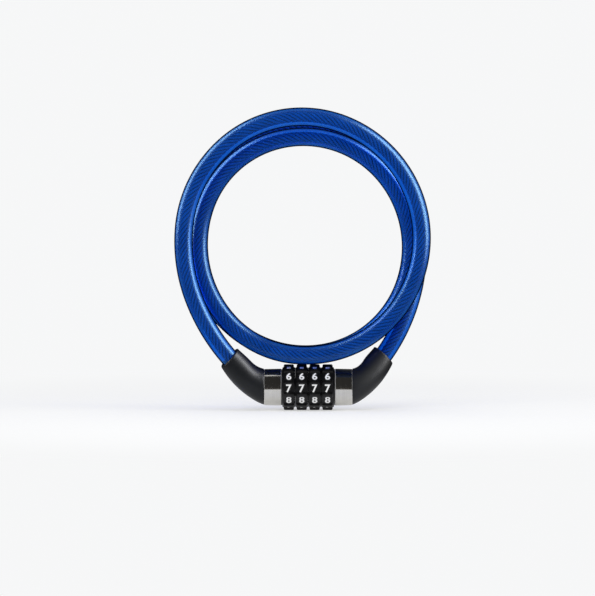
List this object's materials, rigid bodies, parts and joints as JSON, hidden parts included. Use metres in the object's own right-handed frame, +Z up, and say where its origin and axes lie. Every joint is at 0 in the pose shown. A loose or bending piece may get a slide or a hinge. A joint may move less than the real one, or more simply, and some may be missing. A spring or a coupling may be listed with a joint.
{
  "type": "cable lock",
  "caption": "Self-coiling cable lock: a combination barrel with number wheels and a pull-out plug, and a steel rope in a clear blue jacket.",
  "frame": {"origin": "on the resting plane under the lowest finger ridges, at the middle of the whole lock's length and depth", "axes": "+X along the barrel towards the plug, +Z up through the coil, -Y is the front with the read-out line"},
  "size_m": [0.1383, 0.031, 0.164],
  "materials": {
    "jacket_vinyl": "clear blue extruded vinyl, glossy",
    "rope_steel": "stranded galvanised wire",
    "boot_plastic": "fine moulded matt",
    "wheel_plastic": "satin moulded, digits filled white",
    "collar_metal": "turned and nickel plated",
    "mechanism_steel": "zinc plated, turned",
    "tumbler_brass": "machined",
    "washer_plastic": "natural acetal"
  },
  "bodies": {
    "lock_body": {"slotted_tube": "mechanism_steel", "left_collar": "collar_metal", "left_boot": "boot_plastic", "left_ferrule": "mechanism_steel", "left_cross_pin": "mechanism_steel", "left_washer": "washer_plastic", "end_ring": "collar_metal", "detent_spring": "mechanism_steel", "jacket_left_end": "jacket_vinyl", "rope_left_end": "rope_steel"},
    "wheel_1": {"number_wheel_1": "wheel_plastic", "tumbler_1": "tumbler_brass"},
    "wheel_2": {"number_wheel_2": "wheel_plastic", "tumbler_2": "tumbler_brass"},
    "wheel_3": {"number_wheel_3": "wheel_plastic", "tumbler_3": "tumbler_brass"},
    "wheel_4": {"number_wheel_4": "wheel_plastic", "tumbler_4": "tumbler_brass"},
    "plug": {"plug_pin": "mechanism_steel", "right_collar": "collar_metal", "right_boot": "boot_plastic", "right_ferrule": "mechanism_steel", "right_cross_pin": "mechanism_steel", "jacket_right_end": "jacket_vinyl", "rope_right_end": "rope_steel"},
    "cable_1": {"jacket_1": "jacket_vinyl", "rope_1": "rope_steel"},
    "cable_2": {"jacket_2": "jacket_vinyl", "rope_2": "rope_steel"},
    "cable_3": {"jacket_3": "jacket_vinyl", "rope_3": "rope_steel"},
    "cable_4": {"jacket_4": "jacket_vinyl", "rope_4": "rope_steel"},
    "cable_5": {"jacket_5": "jacket_vinyl", "rope_5": "rope_steel"},
    "cable_6": {"jacket_6": "jacket_vinyl", "rope_6": "rope_steel"},
    "cable_7": {"jacket_7": "jacket_vinyl", "rope_7": "rope_steel"},
    "cable_8": {"jacket_8": "jacket_vinyl", "rope_8": "rope_steel"},
    "cable_9": {"jacket_9": "jacket_vinyl", "rope_9": "rope_steel"}
  },
  "joints": [
    {"name": "wheel_1_turn", "type": "hinge", "parent": "lock_body", "child": "wheel_1", "pos_m": [-0.00742, 0, 0.0124], "axis": [1, 0, 0], "continuous": true},
    {"name": "wheel_2_turn", "type": "hinge", "parent": "lock_body", "child": "wheel_2", "pos_m": [-0.00042, 0, 0.0124], "axis": [1, 0, 0], "continuous": true},
    {"name": "wheel_3_turn", "type": "hinge", "parent": "lock_body", "child": "wheel_3", "pos_m": [0.00658, 0, 0.0124], "axis": [1, 0, 0], "continuous": true},
    {"name": "wheel_4_turn", "type": "hinge", "parent": "lock_body", "child": "wheel_4", "pos_m": [0.01358, 0, 0.0124], "axis": [1, 0, 0], "continuous": true},
    {"name": "plug_slide", "type": "slide", "parent": "lock_body", "child": "plug", "axis": [1, 0, 0], "range_m": [0, 0.032]},
    {"name": "cable_flex_1", "type": "hinge", "parent": "lock_body", "child": "cable_1", "pos_m": [-0.03962, -0.00344, 0.0286], "axis": [0, 1, 0], "range_deg": [0, 3.7]},
    {"name": "cable_flex_2", "type": "hinge", "parent": "cable_1", "child": "cable_2", "pos_m": [-0.02377, -0.0106, 0.15447], "axis": [0, 1, 0], "range_deg": [-7.11, 0]},
    {"name": "cable_flex_3", "type": "hinge", "parent": "cable_2", "child": "cable_3", "pos_m": [0.06409, -0.0106, 0.09767], "axis": [0, 1, 0], "range_deg": [-0.66, 0]},
    {"name": "cable_flex_4", "type": "hinge", "parent": "cable_3", "child": "cable_4", "pos_m": [-0.01351, -0.00357, 0.03184], "axis": [0, 1, 0], "range_deg": [0, 5.81]},
    {"name": "cable_flex_5", "type": "hinge", "parent": "cable_4", "child": "cable_5", "pos_m": [-0.0466, 0, 0.12284], "axis": [0, 1, 0], "range_deg": [-3.2, 0]},
    {"name": "cable_flex_6", "type": "hinge", "parent": "cable_5", "child": "cable_6", "pos_m": [0.04576, 0, 0.12593], "axis": [0, 1, 0], "range_deg": [-2.5, 0]},
    {"name": "cable_flex_7", "type": "hinge", "parent": "cable_6", "child": "cable_7", "pos_m": [0.02068, 0.00201, 0.03325], "axis": [0, 1, 0], "range_deg": [0, 7.03]},
    {"name": "cable_flex_8", "type": "hinge", "parent": "cable_7", "child": "cable_8", "pos_m": [-0.0595, 0.0106, 0.09107], "axis": [0, 1, 0], "range_deg": [0, 0.29]},
    {"name": "cable_flex_9", "type": "hinge", "parent": "cable_8", "child": "cable_9", "pos_m": [0.02007, 0.0106, 0.15082], "axis": [0, 1, 0], "range_deg": [-3.47, 0]}
  ],
  "couplings": [
    {"joint": "cable_flex_1", "follows": "plug_slide", "rad_per_m": 2.0108},
    {"joint": "cable_flex_2", "follows": "plug_slide", "rad_per_m": -3.8712},
    {"joint": "cable_flex_3", "follows": "plug_slide", "rad_per_m": -0.3536},
    {"joint": "cable_flex_4", "follows": "plug_slide", "rad_per_m": 3.1627},
    {"joint": "cable_flex_5", "follows": "plug_slide", "rad_per_m": -1.7349},
    {"joint": "cable_flex_6", "follows": "plug_slide", "rad_per_m": -1.3562},
    {"joint": "cable_flex_7", "follows": "plug_slide", "rad_per_m": 3.8263},
    {"joint": "cable_flex_8", "follows": "plug_slide", "rad_per_m": 0.1524},
    {"joint": "cable_flex_9", "follows": "plug_slide", "rad_per_m": -1.8827}
  ]
}
